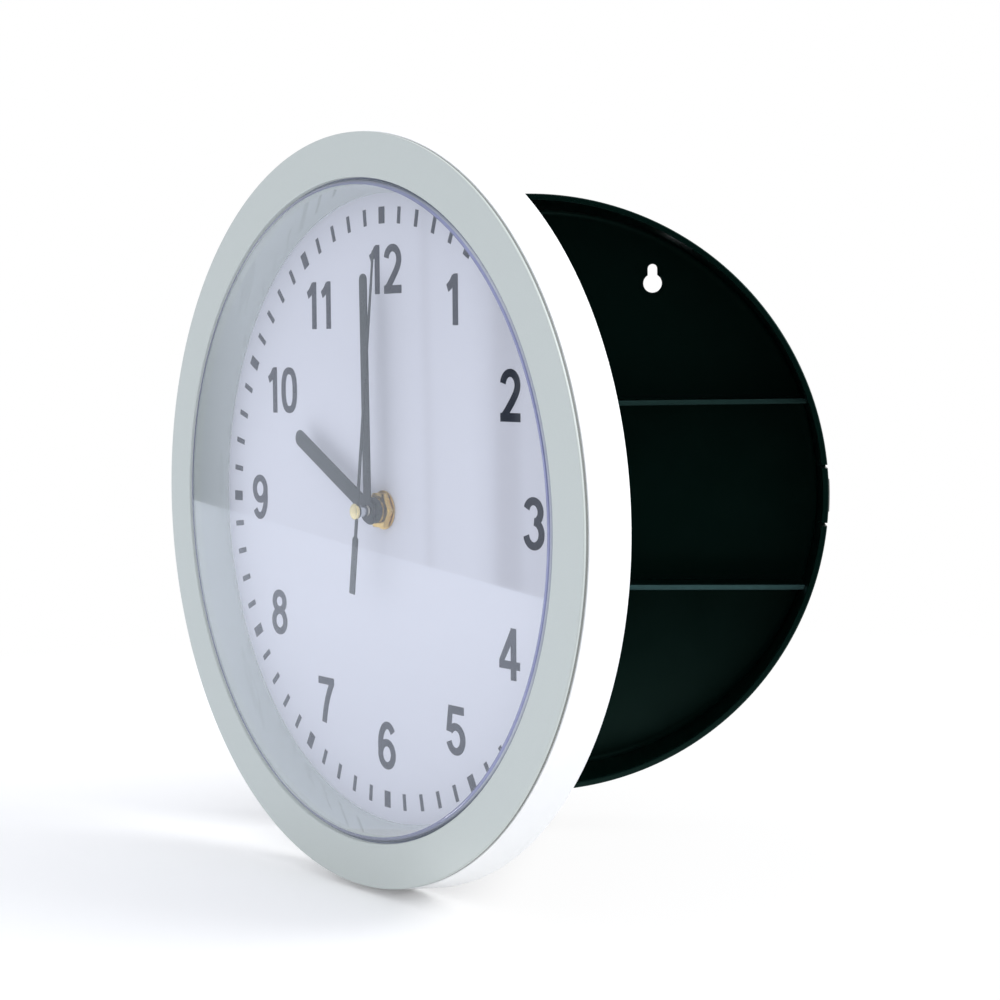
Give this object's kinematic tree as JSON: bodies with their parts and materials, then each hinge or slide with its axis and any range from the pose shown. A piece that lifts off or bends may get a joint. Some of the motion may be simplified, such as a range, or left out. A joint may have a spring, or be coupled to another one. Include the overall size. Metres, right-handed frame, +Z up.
{
  "type": "clock diversion safe",
  "caption": "Round wall clock that swings open on a side hinge to show a shallow round tray with shelves for small valuables.",
  "frame": {"origin": "centre of the tray's flat back, on the wall plane", "axes": "+X to the right as seen from the front, +Y into the wall, +Z up"},
  "size_m": [0.2471, 0.2187, 0.254],
  "materials": {
    "tray": "moulded black plastic, glossy with a soft sheen",
    "steel": "bright zinc plating",
    "silver_lacquer": "moulded plastic with silver-grey satin lacquer",
    "case_white": "moulded white plastic, glossy",
    "clear_plastic": "clear moulded polystyrene",
    "dial": "pale printed card",
    "movement": "black moulded plastic, fine texture",
    "board": "green solder mask on fibreglass",
    "copper": "enamelled copper wire",
    "battery": "printed jacket, satin",
    "nylon": "white moulded nylon",
    "brass": "turned and polished",
    "hand_black": "stamped aluminium with satin black lacquer"
  },
  "bodies": {
    "storage_tray": {"tray": "tray", "hinge_pin": "steel"},
    "clock": {"front_bezel": "silver_lacquer", "case_ring": "case_white", "lens": "clear_plastic", "dial": "dial", "back_plate": "tray", "movement_case": "movement", "movement_cover": "movement", "circuit_board": "board", "drive_coil": "copper", "contact_plus": "steel", "contact_minus": "steel", "threaded_bush": "brass", "bush_washer": "brass", "bush_nut": "brass", "case_screw_1": "steel", "case_screw_2": "steel", "case_screw_3": "steel", "case_screw_4": "steel"},
    "battery": {"battery": "battery"},
    "hour_train": {"hour_hand": "hand_black", "hour_pipe": "nylon"},
    "minute_train": {"minute_hand": "hand_black", "minute_pipe": "nylon"},
    "second_train": {"second_hand": "hand_black", "second_tube": "steel", "second_cap": "brass", "second_arbor": "steel"},
    "setting_knob": {"setting_knob": "nylon"}
  },
  "joints": [
    {"name": "clock_swing", "type": "hinge", "parent": "storage_tray", "child": "clock", "pos_m": [-0.1135, -0.03345, 0], "axis": [0, 0, -1], "range_deg": [-46.19, 58.81]},
    {"name": "second_turn", "type": "hinge", "parent": "clock", "child": "second_train", "pos_m": [-0.03782, -0.11813, 0], "axis": [0.7216, 0.6923, 0], "continuous": true},
    {"name": "minute_turn", "type": "hinge", "parent": "clock", "child": "minute_train", "pos_m": [-0.03782, -0.11813, 0], "axis": [0.7216, 0.6923, 0], "continuous": true},
    {"name": "hour_turn", "type": "hinge", "parent": "clock", "child": "hour_train", "pos_m": [-0.03782, -0.11813, 0], "axis": [0.7216, 0.6923, 0], "continuous": true},
    {"name": "setting_turn", "type": "hinge", "parent": "clock", "child": "setting_knob", "pos_m": [-0.03782, -0.11813, 0], "axis": [0.7216, 0.6923, 0], "continuous": true},
    {"name": "battery_slide", "type": "slide", "parent": "clock", "child": "battery", "axis": [0.7216, 0.6923, 0], "range_m": [0, 0.0145]}
  ],
  "couplings": [
    {"joint": "minute_turn", "follows": "second_turn", "ratio": 0.016667},
    {"joint": "hour_turn", "follows": "second_turn", "ratio": 0.0013889},
    {"joint": "setting_turn", "follows": "second_turn", "ratio": 0.016667}
  ]
}
